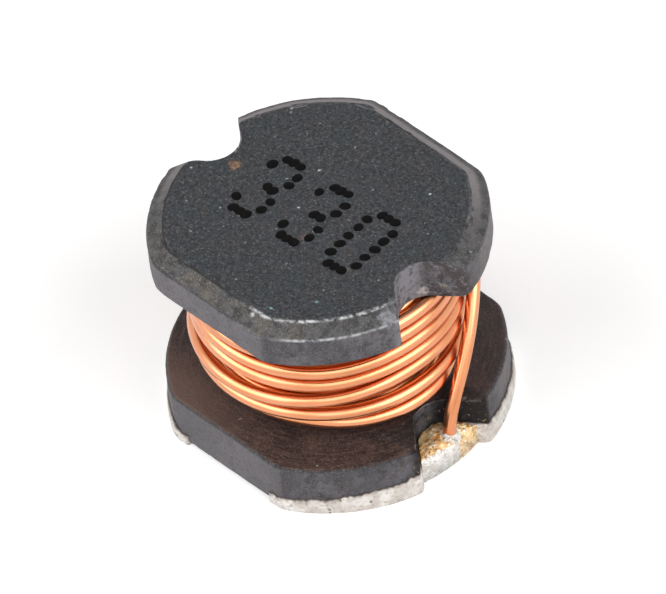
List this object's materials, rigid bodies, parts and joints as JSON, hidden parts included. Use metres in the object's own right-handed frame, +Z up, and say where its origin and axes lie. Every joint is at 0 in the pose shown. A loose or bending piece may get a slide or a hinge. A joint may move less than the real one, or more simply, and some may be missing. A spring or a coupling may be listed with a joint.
{
  "type": "smd inductor",
  "caption": "Surface-mount power inductor: a ferrite drum core with flat sides, an open copper winding whose ends drop into wire notches, and plated terminals that stand on the board.",
  "frame": {"origin": "centre of the footprint on the seating plane under the terminals", "axes": "+Z up along the drum's axis, +X towards the wire notch where the winding's last leg comes down, Y across the flats"},
  "size_m": [0.0058, 0.0052, 0.0043],
  "materials": {
    "ferrite": "ground, fine light speckle",
    "copper_wire": "clear enamel over copper",
    "plating": "matte silver and tin, slightly rough",
    "solder": "solder under amber flux"
  },
  "bodies": {
    "root": {"ferrite_core": "ferrite", "winding": "copper_wire", "terminal_a": "plating", "terminal_b": "plating", "solder_a": "solder", "solder_b": "solder"}
  },
  "joints": []
}
